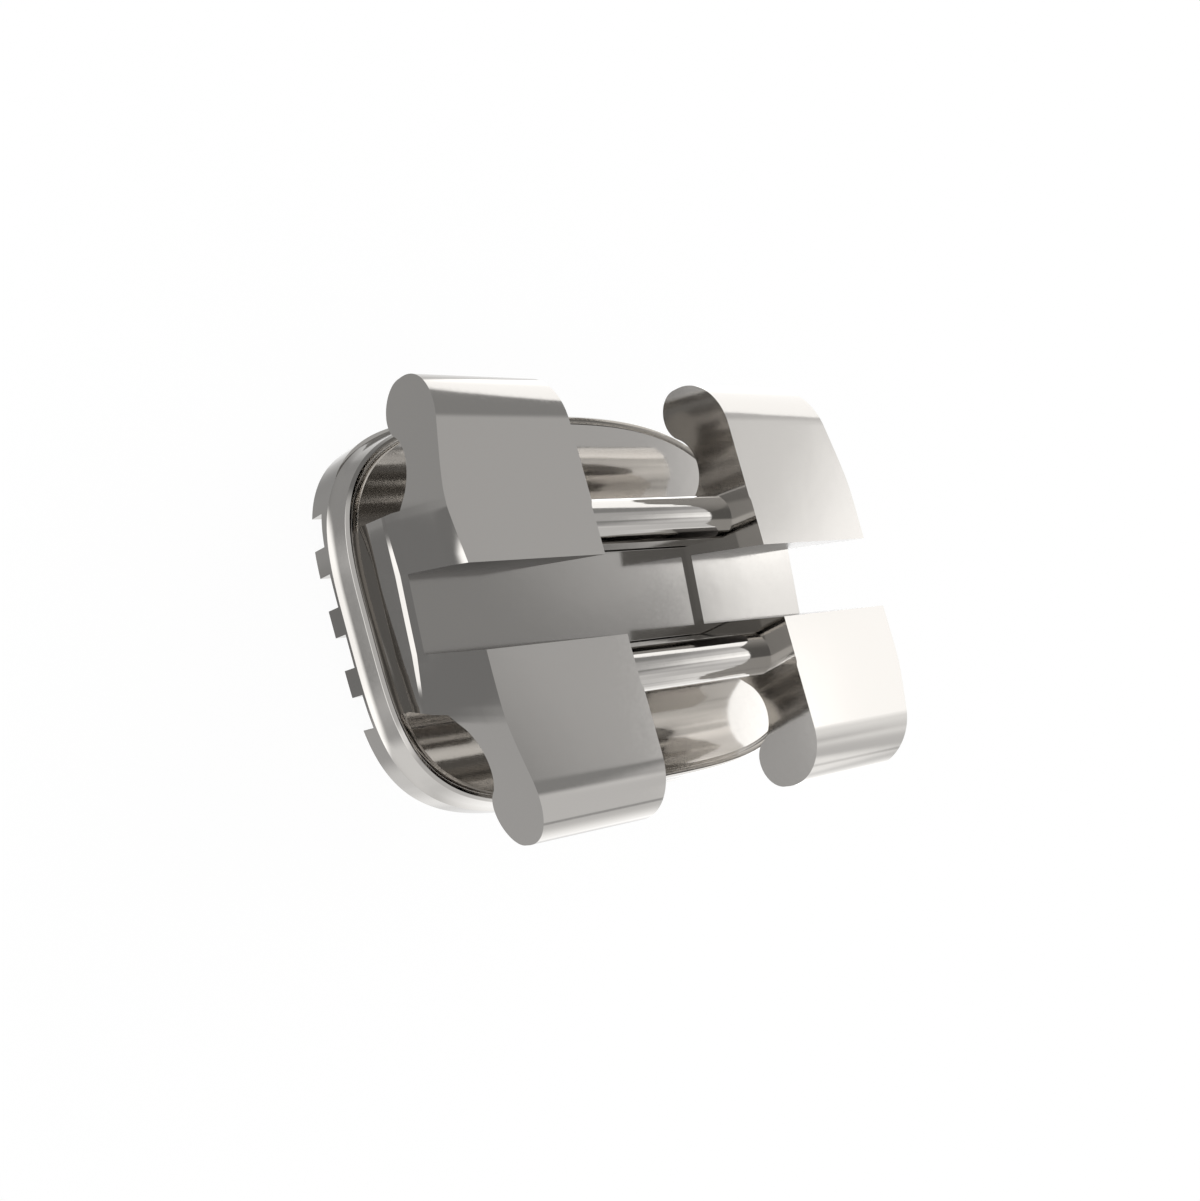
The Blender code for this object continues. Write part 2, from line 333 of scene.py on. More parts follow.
def apply_modifiers(target: bpy.types.Object) -> None:
    """Put the object's finished mesh in place of its modifiers.

    Args:
        target: the object.
    """
    bpy.context.view_layer.update()
    graph = bpy.context.evaluated_depsgraph_get()
    mesh = bpy.data.meshes.new_from_object(target.evaluated_get(graph))
    target.modifiers.clear()
    target.data = mesh


def soften(target: bpy.types.Object, width: float, segments: int = 3) -> None:
    """Round the object's sharp edges.

    Args:
        target: the object.
        width: the width of the rounding, in millimetres.
        segments: the number of faces across it.
    """
    bevel = target.modifiers.new("edge rounding", "BEVEL")
    bevel.width = width
    bevel.segments = segments
    bevel.limit_method = "ANGLE"
    bevel.angle_limit = BEVEL_ANGLE
    bevel.miter_outer = "MITER_SHARP"
    bevel.use_clamp_overlap = True
    apply_modifiers(target)


def combine(target: bpy.types.Object, other: bpy.types.Object, operation: str) -> None:
    """Join the other object to the target, or cut it away, and remove it.

    Args:
        target: the object that is kept.
        other: the object that is joined, cut away, or kept to.
        operation: UNION, DIFFERENCE or INTERSECT.
    """
    cut = target.modifiers.new(operation.lower(), "BOOLEAN")
    cut.operation = operation
    cut.solver = "EXACT"
    cut.object = other
    apply_modifiers(target)
    bpy.data.objects.remove(other, do_unlink=True)


@dataclass(frozen=True)
class Wings:
    """The tie wings with their half of the body, left or right of the gap. Lengths in millimetres."""

    slot: Slot
    sides: Sides
    front: float
    pad_front: float
    span: float = 3.22
    centre: float = -0.13
    tip_radius: float = 0.43
    lobe_radius: float = 0.20
    lobe_back: float = 1.185
    neck_place: float = 1.0
    neck_floor: float = 1.42
    neck_end: float = math.radians(145.0)
    neck_slope: float = math.tan(math.radians(55.0))
    body_half: float = 0.70
    body_draft: float = math.tan(math.radians(4.0))
    overlap: float = 0.12
    edge: float = 0.008
    columns: tuple[float, ...] = (0.34, 0.40, 0.46, 0.52, 0.58, 0.625, 0.655)
    floor_columns: tuple[float, ...] = (-0.14, 0.0, 0.14)
    foot_rows: int = 4
    slope_rows: int = 9
    wing_rows: tuple[int, ...] = (4, 5, 17)
    slope_steps: int = 60
    lobe_steps: int = 25
    tip_steps: int = 60
    probe_share: float = 0.7
    probes: int = 2000

    def neck(self) -> tuple[float, float, float]:
        """Find the neck's hollow arc, tangent to the lobe.

        Returns:
            The arc's radius, its middle's height, and the distance at which it ends.
        """
        run = self.span / 2 - self.lobe_radius - self.neck_place
        rise = self.neck_floor - (self.lobe_back + self.lobe_radius)
        radius = (run ** 2 + rise ** 2 - self.lobe_radius ** 2) / (2 * (self.lobe_radius + rise))
        return radius, self.neck_floor - radius, self.neck_place + radius * math.cos(self.neck_end)

    def under(self, away: np.ndarray) -> np.ndarray:
        """Return the height of a wing's back.

        It is a slope from the body up to the neck, then the neck's arc above its middle, then the
        lobe's arc below its own: z = middle + sqrt(r r - d d) and z = middle - sqrt(r r - d d).

        Args:
            away: distances from the wings' middle line.

        Returns:
            One height for each distance.
        """
        radius, middle, end = self.neck()
        lobe, lobe_z = self.span / 2 - self.lobe_radius, self.lobe_back + self.lobe_radius
        meet = self.neck_place + (lobe - self.neck_place) * radius / (radius + self.lobe_radius)
        hollow = middle + np.sqrt(np.maximum(radius ** 2 - (away - self.neck_place) ** 2, 0.0))
        bulge = lobe_z - np.sqrt(np.maximum(self.lobe_radius ** 2 - (away - lobe) ** 2, 0.0))
        end_z = middle + math.sqrt(radius ** 2 - (end - self.neck_place) ** 2)
        slope = end_z - (end - away) * self.neck_slope
        return np.where(away < end, slope, np.where(away < meet, hollow, bulge))

    def over(self, away: np.ndarray) -> np.ndarray:
        """Return the height of a wing's front: flat, then the tip's arc.

        Args:
            away: distances from the wings' middle line.

        Returns:
            One height for each distance.
        """
        start = self.span / 2 - self.tip_radius
        drop = self.tip_radius - np.sqrt(np.maximum(self.tip_radius ** 2 - (away - start) ** 2, 0.0))
        return self.front - np.where(away > start, drop, 0.0)

    def places(self, away: np.ndarray, height: np.ndarray, half: Half) -> np.ndarray:
        """Return y and z of places given by their distance from the wings' middle line and height."""
        return np.stack((self.centre + half.value * away, height), axis=-1)

    def shoulder(self, half: Half) -> float:
        """Find where the body's wall meets the slope to the neck.

        Args:
            half: the upper or the lower wing.

        Returns:
            The depth in the slot's section.
        """
        away = np.linspace(self.body_half * self.probe_share, self.neck_place, self.probes)
        across, depth = self.slot.to_slot(self.places(away, self.under(away), half))
        return float(np.interp(self.body_half, np.abs(across), depth))

    def hook(self, half: Half, rows: np.ndarray) -> np.ndarray:
        """Return the grid of the wing beyond the body's wall, from the wing's back to its front.

        Its columns run from the wall line to the tip. Each is straight, from a place on the back,
        the slope, hollow and lobe, to one on the front, the flat and the tip's arc.

        Args:
            half: the upper or the lower wing.
            rows: depths on the body's wall line at which the grid beside it has corners.

        Returns:
            y and z of the grid's places, shaped rows by columns by two.
        """
        wall = self.slot.to_part(half.value * self.body_half, rows[[0, -1]])
        first = half.value * (wall[:, 0] - self.centre)
        tip, lobe = self.span / 2 - self.tip_radius, self.span / 2 - self.lobe_radius
        along = np.linspace(first[0], lobe, self.slope_steps, endpoint=False)
        turn = np.linspace(math.pi / 2, 0.0, self.lobe_steps)
        back = np.concatenate((along, lobe + self.lobe_radius * np.cos(turn)))
        along = np.linspace(first[1], tip, len(back) - self.tip_steps, endpoint=False)
        turn = np.linspace(math.pi / 2, 0.0, self.tip_steps)
        front = np.concatenate((along, tip + self.tip_radius * np.cos(turn)))
        low = self.places(back, self.under(back), half)
        high = self.places(front, self.over(front), half)
        low[0], high[0] = wall
        share = (rows - rows[0]) / (rows[-1] - rows[0])
        return low + (high - low) * share[:, None, None]

    def section(self) -> Patchwork:
        """Return the section of wings and body as grids beside the slot and one for each hook.

        The columns are lines of constant across; the rows run from the foot to the slot's floor,
        to the shoulder, to where the relief starts, and to the front.

        Returns:
            The figure, with the grids in it.
        """
        figure = Patchwork()
        outer = np.array([self.slot.height / 2, *self.columns, self.body_half])
        block = np.concatenate((-outer[::-1], self.floor_columns, outer))
        foot = self.pad_front - self.overlap
        bottom = self.slot.depth_at(block, foot)
        floor, sill, ledge, end = self.sides.scoop_drops
        slope = np.linspace(ledge, sill, self.slope_rows)
        rising = -np.array([end, *slope, floor])[:, None]
        share = np.linspace(0.0, 1.0, self.foot_rows, endpoint=False)[:, None]
        low = bottom + (rising[0] - bottom) * share
        depth = np.concatenate((low, rising + 0.0 * block))
        narrow = 1.0 + self.body_draft * depth / self.body_half
        figure.add_grid(self.slot.to_part(block * narrow, depth))
        for half in Half:
            columns = half.value * outer
            levels = np.stack((
                0.0 * columns,
                np.full_like(columns, self.shoulder(half)),
                self.slot.depth_at(columns, self.sides.relief_start),
                self.slot.depth_at(columns, self.front),
            ))
            rows = [low + (high - low) * np.linspace(0.0, 1.0, count)[:, None]
                    for count, low, high in zip(self.wing_rows, levels[:-1], levels[1:])]
            depth = np.concatenate((rows[0], rows[1][1:], rows[2][1:]))
            figure.add_grid(self.slot.to_part(np.broadcast_to(columns, depth.shape), depth))
            figure.add_grid(self.hook(half, depth[len(rows[0]) - 1:, -1]))
        return figure

    def build(self, side: Side) -> bpy.types.Object:
        """Build the solid: the section at the outer side and at the gap's wall, joined by strips.

        Args:
            side: the left or the right wings.

        Returns:
            The new object.
        """
        places, faces = self.section().merged()
        count = len(places)
        outer = np.column_stack((self.sides.outer(places, side), places))
        inner = np.column_stack((self.sides.inner(places, side), places))
        edges = boundary(faces)
        strips = np.column_stack((edges[:, 0], edges[:, 1], edges[:, 1] + count, edges[:, 0] + count))
        every = [face[::-1] for face in faces] + [face + count for face in faces] + list(strips)
        made = make_object(f"wings_{side.name.lower()}", np.concatenate((outer, inner)), every)
        soften(made, self.edge)
        return made


@dataclass(frozen=True)
class Middle:
    """The body under the middle gap, with the two rails across its foot. Lengths in millimetres."""

    slot: Slot
    sides: Sides
    centre: float
    pad_front: float
    body_half: float
    body_draft: float
    overlap: float
    rail_spacing: float = 1.106
    rail_radius: float = 0.17
    rail_axis: float = 1.46
    shelf_drop: float = 0.187
    channel_half: float = 0.36
    channel_drop: float = 0.06
    bite: float = 0.10
    seam: float = 0.008
    edge: float = 0.01
    rail_steps: int = 41

    def outline(self, half: Half) -> np.ndarray:
        """Return half the section's outline, from the channel over the rail to the body's foot.

        Args:
            half: the upper or the lower half.

        Returns:
            y and z of its points, one row for each.
        """
        corner = self.slot.to_part(np.array(half.value * self.channel_half), np.array(-self.channel_drop))
        away = self.rail_spacing / 2
        turn = np.linspace(math.pi, 0.0, self.rail_steps)
        rail = np.stack((self.centre + half.value * (away + self.rail_radius * np.cos(turn)),
                         self.rail_axis + self.rail_radius * np.sin(turn)), axis=-1)
        wall = half.value * (self.body_half - self.seam)
        shelf = self.rail_axis - self.shelf_drop
        depth = float(self.slot.depth_at(wall, shelf))
        foot = self.pad_front - self.overlap
        low = float(self.slot.depth_at(wall, foot))
        narrow = wall * (1 + self.body_draft * low / self.body_half)
        side = self.slot.to_part(np.array([wall, wall, narrow]), np.array([depth, 0.0, low]))
        return np.concatenate((corner[None], rail, side))

    def build(self) -> bpy.types.Object:
        """Build the solid as a prism between the two gap walls, into which it bites a little.

        Returns:
            The new object.
        """
        loop = np.concatenate((self.outline(Half.LOWER)[::-1], self.outline(Half.UPPER)))
        count = len(loop)
        ends = []
        for side in Side:
            x = side.value * (self.sides.gap / 2 + self.bite) - self.sides.lean * loop[:, 0]
            ends.append(np.column_stack((x, loop)))
        index = np.arange(count)
        following = np.roll(index, -1)
        strips = np.column_stack((index, following, following + count, index + count))
        made = make_object("rails", np.concatenate(ends), list(strips) + [index[::-1], index + count])
        soften(made, self.edge)
        return made


@dataclass(frozen=True)
class Pad:
    """The bonding pad with its rim, and the layer of posts behind it. Lengths in millimetres."""

    lean: float
    front: float = 0.60
    width: float = 4.09
    height: float = 3.13
    power_upper: float = 3.1
    power_lower: float = 4.2
    rim_radius: float = 0.062
    rim_foot: float = 0.02
    facet_height: float = 0.08
    facet_inset: float = 0.024
    band_height: float = 0.12
    band_lean: float = math.tan(math.radians(9.0))
    brow_lean: float = math.tan(math.radians(28.0))
    neck_inset: float = 0.12
    groove_width: float = 0.06
    groove_depth: float = 0.045
    post_depth: float = 0.165
    post_ledge: float = 0.17
    post_inset: float = 0.085
    post_power: float = 3.6
    pitch: float = 0.456
    row_groove: float = 0.25
    row_shift: float = 0.052
    column_groove: float = 0.11
    column_border: float = 0.15
    rows: int = 4
    columns: int = 8
    steps: int = 360
    foot_steps: int = 7
    curve_steps: int = 13
    fine_steps: int = 16

    def outline(self, half_width: float, half_height: float, upper: float) -> np.ndarray:
        """Return a leaning superellipse, |x/a|^p + |y/b|^p = 1, as points an even step apart.

        Args:
            half_width: a, half the width in x.
            half_height: b, half the height in y.
            upper: the power p above the middle; below it p is power_lower.

        Returns:
            x and y of the points, one row for each.
        """
        turn = np.linspace(0.0, 2 * math.pi, self.fine_steps * self.steps + 1)
        c, s = np.cos(turn), np.sin(turn)
        power = 2 / np.where(s >= 0, upper, self.power_lower)
        x = half_width * np.sign(c) * np.abs(c) ** power
        y = half_height * np.sign(s) * np.abs(s) ** power
        length = np.concatenate(([0.0], np.cumsum(np.hypot(np.diff(x), np.diff(y)))))
        even = np.linspace(0.0, length[-1], self.steps, endpoint=False)
        x, y = np.interp(even, length, x), np.interp(even, length, y)
        return np.column_stack((x - self.lean * y, y))

    def loft(self, name: str, rings: Sequence[tuple[np.ndarray, float]]) -> bpy.types.Object:
        """Build a closed solid through outlines at rising heights, flat at both ends.

        Args:
            name: the object's name.
            rings: each outline with its height.

        Returns:
            The new object.
        """
        stacked = np.concatenate([np.column_stack((ring, np.full(len(ring), z))) for ring, z in rings])
        index = np.arange(len(rings) * self.steps).reshape(len(rings), self.steps)
        after = np.roll(index, -1, axis=1)
        walls = np.stack((index[:-1], after[:-1], after[1:], index[1:]), axis=-1).reshape(-1, 4)
        return make_object(name, stacked, list(walls) + [index[0][::-1], index[-1]])

    def plate(self) -> bpy.types.Object:
        """Build the pad: neck, overhanging rim, groove, and flat front.

        The rim's foot is a quarter of a round whose middle lies 1.5 radii over the joint. From there
        its outline rises along a facet and a steeper band, and goes over to the groove on a curve of
        second degree, (1-t)(1-t) a + 2t(1-t) b + t t c, from the band's end a by the corner b to the
        groove's edge c.

        Returns:
            The new object.
        """
        ledge = self.post_depth + self.post_ledge
        levels = [(self.neck_inset, ledge - self.post_ledge / 2),
                  (self.neck_inset, ledge + self.rim_foot / 4)]
        for turn in np.linspace(0.0, math.pi / 2, self.foot_steps):
            levels.append((self.rim_foot * (1 - math.sin(turn)),
                           ledge + self.rim_foot * (1.5 - math.cos(turn))))
        start = levels[-1][1] + self.facet_height
        levels.append((self.facet_inset, start))
        start += self.band_height
        begin = self.facet_inset + self.band_lean * self.band_height
        corner = begin + self.brow_lean * (self.front - start)
        for t in np.linspace(0.0, 1.0, self.curve_steps):
            inset = (1 - t) ** 2 * begin + 2 * t * (1 - t) * corner + t ** 2 * self.rim_radius
            levels.append((inset, (1 - t) ** 2 * start + (1 - (1 - t) ** 2) * self.front))
        for share in np.linspace(0.0, 1.0, self.curve_steps)[1:]:
            dip = self.groove_depth * math.sin(math.pi * share)
            levels.append((self.rim_radius + self.groove_width * share, self.front - dip))
        rings = [(self.outline(self.width / 2 - inset, self.height / 2 - inset, self.power_upper), z)
                 for inset, z in levels]
        return self.loft("pad", rings)

    def posts(self) -> bpy.types.Object:
        """Build the layer behind the pad and cut its grooves, which leaves the posts.

        Returns:
            The new object.
        """
        ring = self.outline(self.width / 2 - self.post_inset, self.height / 2, self.post_power)
        layer = self.loft("posts", [(ring, 0.0), (ring, self.post_depth + self.post_ledge)])
        for i in range(self.rows):
            place = self.row_shift + (i - (self.rows - 1) / 2) * self.pitch
            combine(layer, self.bar((0.0, place), self.row_groove, False), "DIFFERENCE")
        inset = self.post_inset + self.column_border
        ring = self.outline(self.width / 2 - inset, self.height / 2 - self.column_border, self.post_power)
        for i in range(self.columns):
            place = (i - (self.columns - 1) / 2) * self.pitch
            bar = self.bar((place, 0.0), self.column_groove, True)
            combine(bar, self.loft("field", [(ring, -self.front), (ring, self.front)]), "INTERSECT")
            combine(layer, bar, "DIFFERENCE")
        return layer

    def bar(self, place: tuple[float, float], width: float, upright: bool) -> bpy.types.Object:
        """Build a long bar that cuts one groove; an upright one leans with the wings.

        Args:
            place: x and y of its middle.
            width: the groove's width.
            upright: whether it runs up the part, and not across.

        Returns:
            The new object.
        """
        corner = np.array([[x, y, z] for z in (-1, 1) for y in (-1, 1) for x in (-1, 1)], float)
        half = (width / 2, self.height) if upright else (self.width, width / 2)
        vertices = corner * np.array([*half, self.post_depth]) + np.array([*place, 0.0])
        if upright:
            vertices[:, 0] -= self.lean * vertices[:, 1]
        faces = [(0, 1, 3, 2), (4, 6, 7, 5), (0, 4, 5, 1), (2, 3, 7, 6), (0, 2, 6, 4), (1, 5, 7, 3)]
        return make_object("bar", vertices, [np.array(face) for face in faces])


@dataclass(frozen=True)
class PolishedSteel:
    """Polished stainless steel, type 17-4 PH, moulded from powder, sintered and tumbled.

    Tumbling leaves it bright, with soft reflections, a faint waviness of a few tenths of a
    millimetre that bends their edges, and fine pits from the powder. The slot's two walls get
    a darker colour, which is painted shade, and a higher roughness than the rest.
    """

    colour: str = "#C6C3BF"
    # a darker colour on the slot's two walls: painted shade
    slot_wall_shade_colour: str = "#605D5B"
    slot_wall_roughness: float = 0.30
    roughness: float = 0.08
    wave_mm: float = 0.35
    wave_height_mm: float = 0.0006
    grain_mm: float = 0.03
    grain_height_mm: float = 0.00001
    wave_detail: float = 2.0
    grain_detail: float = 3.0
    grain_low: float = 0.3
    grain_high: float = 0.7
    smoothest: float = 0.8
    roughest: float = 1.3

    def material(self) -> bpy.types.Material:
        """Build the material; its noises run in object space.

        Returns:
            The new material.
        """
        made = bpy.data.materials.new("polished stainless steel")
        made.use_nodes = True
        tree = made.node_tree
        shader = tree.nodes["Principled BSDF"]
        shader.inputs["Metallic"].default_value = 1.0
        # the slot's two walls, marked by a face attribute, get painted shade, a darker colour, and a
        # higher roughness
        slot_wall_shade = add_node(tree, "ShaderNodeAttribute", {"attribute_name": "slot_wall_shade"}).outputs["Fac"]
        colour_and_painted_shade = add_node(tree, "ShaderNodeMix", {"data_type": "RGBA"}, {SHARE: slot_wall_shade})
        colour_and_painted_shade.inputs[COLOUR_A].default_value = linear(self.colour)
        colour_and_painted_shade.inputs[COLOUR_B].default_value = linear(self.slot_wall_shade_colour)
        tree.links.new(colour_and_painted_shade.outputs[COLOUR_OUT], shader.inputs["Base Color"])
        place = add_node(tree, "ShaderNodeTexCoord").outputs["Object"]
        wave = add_node(tree, "ShaderNodeTexNoise", links={"Vector": place},
                        Scale=1 / (self.wave_mm * MM), Detail=self.wave_detail).outputs["Fac"]
        grain = add_node(tree, "ShaderNodeTexNoise", links={"Vector": place},
                         Scale=1 / (self.grain_mm * MM), Detail=self.grain_detail).outputs["Fac"]
        rough = add_node(tree, "ShaderNodeMapRange", links={"Value": grain}, From_Min=self.grain_low,
                         From_Max=self.grain_high, To_Min=self.roughness * self.smoothest,
                         To_Max=self.roughness * self.roughest)
        dull = add_node(tree, "ShaderNodeMix", {"data_type": "FLOAT"},
                        {SHARE: slot_wall_shade, VALUE_A: rough.outputs["Result"]})
        dull.inputs[VALUE_B].default_value = self.slot_wall_roughness
        tree.links.new(dull.outputs[VALUE_OUT], shader.inputs["Roughness"])
        waves = add_node(tree, "ShaderNodeBump", links={"Height": wave},
                         Distance=self.wave_height_mm * MM)
        pits = add_node(tree, "ShaderNodeBump", links={"Height": grain, "Normal": waves.outputs["Normal"]},
                        Distance=self.grain_height_mm * MM)
        tree.links.new(pits.outputs["Normal"], shader.inputs["Normal"])
        return made


@dataclass
class Bracket:
    """The whole bracket as one solid."""

    slot: Slot = field(default_factory=Slot)
    front: float = 1.865
    finish: PolishedSteel = field(default_factory=PolishedSteel)
    wall_reach: float = 0.01
    wall_facing: float = 0.9

    def build(self) -> bpy.types.Object:
        """Build the parts, join them, bring the solid to metres and dress it.

        Returns:
            The new object.
        """
        sides = Sides(self.slot, self.front)
        pad = Pad(sides.lean)
        wings = Wings(self.slot, sides, self.front, pad.front)
        middle = Middle(self.slot, sides, wings.centre, pad.front, wings.body_half, wings.body_draft,
                        wings.overlap)
        solid = wings.build(Side.LEFT)
        for part in (wings.build(Side.RIGHT), middle.build(), pad.plate(), pad.posts()):
            LOG.info("joining %s, %d faces", part.name, len(part.data.polygons))
            combine(solid, part, "UNION")
        solid.name = "bracket_steel"
        self.finish_mesh(solid)
        self.dress(solid)
        return solid

    def finish_mesh(self, solid: bpy.types.Object) -> None:
        """Weld what the joins left nearly in one place, bring it to metres and smooth the rounds.

        The large faces lead where normals are weighed, so that flat faces are shaded flat.

        Args:
            solid: the joined object.
        """
        cage = bmesh.new()
        cage.from_mesh(solid.data)
        bmesh.ops.remove_doubles(cage, verts=cage.verts[:], dist=JOIN_GAP_MM)
        bmesh.ops.dissolve_degenerate(cage, edges=cage.edges[:], dist=JOIN_GAP_MM)
        loose = sum(1 for edge in cage.edges if not edge.is_manifold)
        cage.to_mesh(solid.data)
        cage.free()
        solid.data.shade_smooth()
        solid.data.set_sharp_from_angle(angle=SMOOTH_ANGLE)
        weigh = solid.modifiers.new("flat faces stay flat", "WEIGHTED_NORMAL")
        weigh.mode = "FACE_AREA"
        weigh.weight = LARGE_FACES_LEAD
        weigh.thresh = 0.0
        weigh.keep_sharp = True
        apply_modifiers(solid)
        # the slot's two walls are marked for their painted shade
        self.mark_slot_wall_shade(solid.data)
        solid.data.transform(Matrix.Scale(MM, 4))
        LOG.info("solid: %d faces, %d edges not between two faces", len(solid.data.polygons), loose)

    def mark_slot_wall_shade(self, mesh: bpy.types.Mesh) -> None:
        """Mark the slot's two walls for painted shade: a face attribute, 1 on them and 0 elsewhere.

        Args:
            mesh: the solid's mesh, in millimetres.
        """
        count = len(mesh.polygons)
        middle, normal = np.empty(3 * count), np.empty(3 * count)
        mesh.polygons.foreach_get("center", middle)
        mesh.polygons.foreach_get("normal", normal)
        across, depth = self.slot.to_slot(middle.reshape(-1, 3)[:, 1:])
        facing = np.abs(normal.reshape(-1, 3)[:, 1]) > self.wall_facing
        beside = np.abs(np.abs(across) - self.slot.height / 2) < self.wall_reach
        on_wall = facing & beside & (depth > 0.0)
        mesh.attributes.new("slot_wall_shade", "FLOAT", "FACE").data.foreach_set("value", on_wall.astype(float))

    def dress(self, solid: bpy.types.Object) -> None:
        """Give the solid its finish and its place in the frame.

        Args:
            solid: the finished object.
        """
        solid.data.materials.clear()
        solid.data.materials.append(self.finish.material())
        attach(solid, "root")
        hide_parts("bracket")


@dataclass(frozen=True)
class Card:
    """A soft-edged part of the surroundings that adds light where all its edges are passed.

    Each edge is a weight for x, y and z of the direction, and two values of their weighted sum,
    between which the card comes in by a smooth step. A dark card has a gain below zero: it takes
    light away from those it overlaps, and never more than there is.
    """

    gain: float
    edges: tuple[tuple[tuple[float, float, float], float, float], ...]


# the ways in which the cards' edges are passed, as weights for x, y and z of a direction
RIGHT, LEFT = (1.0, 0.0, 0.0), (-1.0, 0.0, 0.0)
UP, DOWN = (0.0, 1.0, 0.0), (0.0, -1.0, 0.0)
FORE, BACK = (0.0, 0.0, 1.0), (0.0, 0.0, -1.0)
WINDOW, OFF_WINDOW = (2.185, 1.0, -0.132), (-2.185, -1.0, 0.132)
RIGHT_UP, RIGHT_DOWN = (1.0, 0.5, 0.0), (1.0, -0.25, 0.0)

CARDS = (
    # in front of the part, what a face turned to +z shows: grey, brighter towards +x
    Card(0.10, ((RIGHT, 0.0, 0.4),)),
    Card(0.25, ((RIGHT_UP, 0.50, 0.62), (UP, -0.14, -0.06), (DOWN, -0.42, -0.28))),
    Card(0.42, ((RIGHT, 0.64, 0.70), (OFF_WINDOW, -1.965, -1.925), (UP, -0.6, -0.3))),
    Card(0.70, ((RIGHT_DOWN, 0.665, 0.735), (UP, -0.55, -0.15), (OFF_WINDOW, -1.965, -1.925))),
    Card(0.70, ((RIGHT, 0.625, 0.68), (LEFT, -0.75, -0.69), (UP, -0.08, -0.03), (DOWN, -0.15, -0.09))),
    Card(-0.90, ((RIGHT, 0.80, 0.88),)),
    Card(-0.24, ((RIGHT, 0.63, 0.69), (DOWN, 0.02, 0.06), (FORE, 0.5, 0.6))),
    Card(0.40, ((FORE, 0.93, 0.985),)),
    # above and to the right, a wide window with a slanting edge
    Card(1.30, ((WINDOW, 1.925, 1.965),)),
    # below, with the thin dark line of the horizon
    Card(0.46, ((DOWN, 0.34, 0.46),)),
    Card(0.55, ((RIGHT, 0.62, 0.70), (DOWN, 0.62, 0.68))),
    Card(-0.35, ((DOWN, 0.5, 0.6), (FORE, -0.06, -0.02), (BACK, -0.06, -0.02))),
    # behind the part
    Card(0.60, ((BACK, 0.10, 0.60), (RIGHT, -0.3, 0.5))),
    Card(0.28, ((BACK, 0.30, 0.60), (LEFT, 0.0, 0.3), (DOWN, 0.05, 0.2))),
    Card(0.16, ((BACK, 0.30, 0.60), (LEFT, 0.0, 0.3), (UP, 0.04, 0.14))),
    # to the left: grey above, and a bright strip under the horizon
    Card(0.45, ((LEFT, 0.65, 0.85), (FORE, -0.42, -0.34))),
    Card(1.40, ((LEFT, 0.66, 0.80), (FORE, -0.76, -0.60), (BACK, 0.30, 0.38))),
)


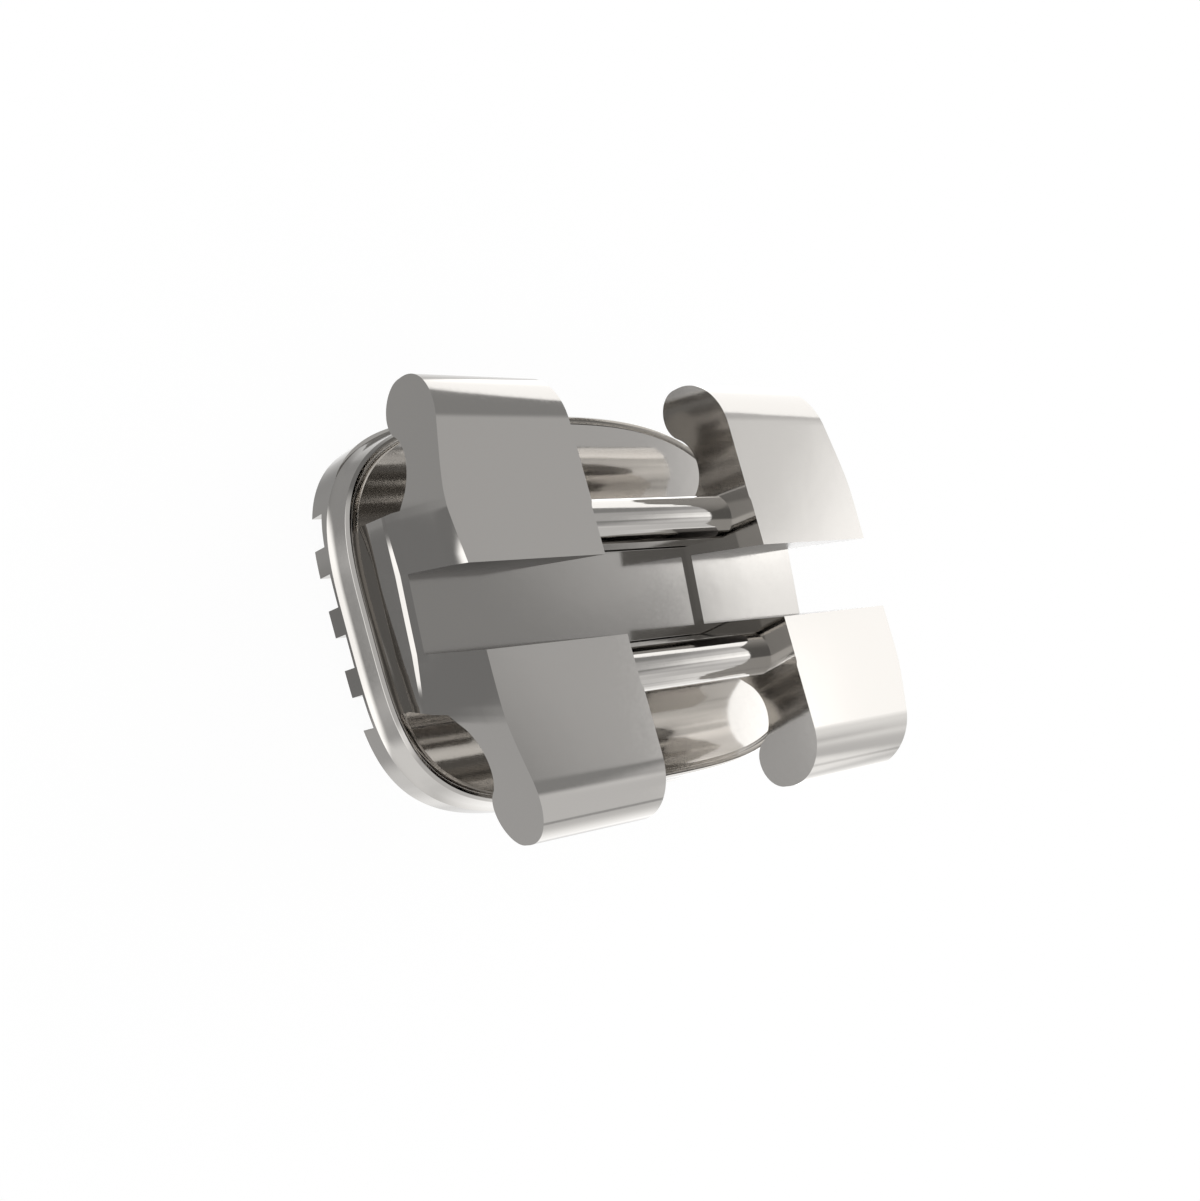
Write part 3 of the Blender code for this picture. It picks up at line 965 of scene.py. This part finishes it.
@dataclass(frozen=True)
class Studio:
    """The camera, the pale floor and the soft surroundings. Lengths in millimetres."""

    camera_place: tuple[float, float, float] = (-6.2399, -1.2024, 8.6986)
    camera_turn: tuple[float, float, float] = (14.1007, -36.1963, -12.5526)
    lens: float = 38.601
    sensor: float = 36.0
    near: float = 0.1
    far: float = 1000.0
    room_colour: str = "#FFFFFF"
    ground: float = 0.24
    white: str = "#FFFFFF"
    floor_half: float = 60.0
    floor_drop: float = 0.004
    paper_colour: str = "#F4F4F4"
    paper_glow: float = 1.07
    shadow_share: float = 0.12

    def camera(self) -> None:
        """Place the camera at the photograph's angle, its long side along the frame's width."""
        data = bpy.data.cameras.new("camera")
        data.lens = self.lens
        data.sensor_width = self.sensor
        data.sensor_fit = "HORIZONTAL"
        data.clip_start = self.near * MM
        data.clip_end = self.far * MM
        seat = bpy.data.objects.new("camera", data)
        seat.location = Vector(self.camera_place) * MM
        seat.rotation_euler = Euler([math.radians(a) for a in self.camera_turn], "XYZ")
        bpy.context.scene.collection.objects.link(seat)
        bpy.context.scene.camera = seat

    def light_of(self, card: Card, tree: bpy.types.NodeTree, way: bpy.types.NodeSocket,
                 below: bpy.types.NodeSocket | float) -> bpy.types.NodeSocket:
        """Add one card's light to what is below it: below + gain * step * step ...

        Args:
            card: the card.
            tree: the world's node tree.
            way: the output socket of the direction.
            below: the light so far, a socket or a number.

        Returns:
            The output socket of the sum.
        """
        share = None
        for weights, start, end in card.edges:
            along = add_node(tree, "ShaderNodeVectorMath", {"operation": "DOT_PRODUCT"}, {0: way})
            along.inputs[1].default_value = weights
            step = add_node(tree, "ShaderNodeMapRange", {"interpolation_type": "SMOOTHSTEP"},
                            {"Value": along.outputs["Value"]}, From_Min=start, From_Max=end)
            if share is None:
                share = step.outputs["Result"]
            else:
                both = add_node(tree, "ShaderNodeMath", {"operation": "MULTIPLY"},
                                {0: share, 1: step.outputs["Result"]})
                share = both.outputs[0]
        total = add_node(tree, "ShaderNodeMath", {"operation": "MULTIPLY_ADD"}, {0: share})
        total.inputs[1].default_value = card.gain
        if isinstance(below, float):
            total.inputs[2].default_value = below
        else:
            tree.links.new(below, total.inputs[2])
        return total.outputs[0]

    def surroundings(self) -> None:
        """Give the world a white background and, for reflections, the grey room with its cards."""
        world = bpy.data.worlds.new("studio")
        bpy.context.scene.world = world
        world.use_nodes = True
        tree = world.node_tree
        tree.nodes.clear()
        way = add_node(tree, "ShaderNodeTexCoord").outputs["Generated"]
        total: bpy.types.NodeSocket | float = self.ground
        for card in CARDS:
            total = self.light_of(card, tree, way, total)
        room = add_node(tree, "ShaderNodeBackground", links={"Strength": total},
                        Color=linear(self.room_colour))
        white = add_node(tree, "ShaderNodeBackground", Color=linear(self.white), Strength=1.0)
        seen = add_node(tree, "ShaderNodeLightPath").outputs["Is Camera Ray"]
        mixed = add_node(tree, "ShaderNodeMixShader",
                         links={0: seen, 1: room.outputs[0], 2: white.outputs[0]})
        add_node(tree, "ShaderNodeOutputWorld", links={"Surface": mixed.outputs[0]})

    def floor(self) -> None:
        """Lay a plain white floor just under the posts; reflections see the room through it.

        Seen by the camera it is nearly all its own white, so that only a faint shadow shows.
        """
        corner = self.floor_half * MM * np.array([(-1, -1, 0), (1, -1, 0), (1, 1, 0), (-1, 1, 0)])
        corner[:, 2] = -self.floor_drop * MM
        sheet = make_object("floor", corner, [np.arange(4)])
        made = bpy.data.materials.new("matt white paper")
        made.use_nodes = True
        tree = made.node_tree
        tree.nodes.clear()
        glow = add_node(tree, "ShaderNodeEmission", Color=linear(self.white), Strength=self.paper_glow)
        paper = add_node(tree, "ShaderNodeBsdfDiffuse", Color=linear(self.paper_colour))
        faint = add_node(tree, "ShaderNodeMixShader", links={1: glow.outputs[0], 2: paper.outputs[0]})
        faint.inputs[0].default_value = self.shadow_share
        clear = add_node(tree, "ShaderNodeBsdfTransparent")
        bounce = add_node(tree, "ShaderNodeLightPath").outputs["Is Glossy Ray"]
        mixed = add_node(tree, "ShaderNodeMixShader",
                         links={0: bounce, 1: faint.outputs[0], 2: clear.outputs[0]})
        add_node(tree, "ShaderNodeOutputMaterial", links={"Surface": mixed.outputs[0]})
        sheet.data.materials.append(made)

    def build(self) -> None:
        """Set up camera, surroundings and floor."""
        self.camera()
        self.surroundings()
        self.floor()


def main() -> None:
    """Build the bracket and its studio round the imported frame."""
    logging.basicConfig(level=logging.INFO, format="%(name)s: %(message)s")
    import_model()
    scene = bpy.context.scene
    scene.view_settings.view_transform = "Standard"
    solid = Bracket().build()
    LOG.info("%s is in place", solid.name)
    Studio().build()


if __name__ == "__main__":
    main()
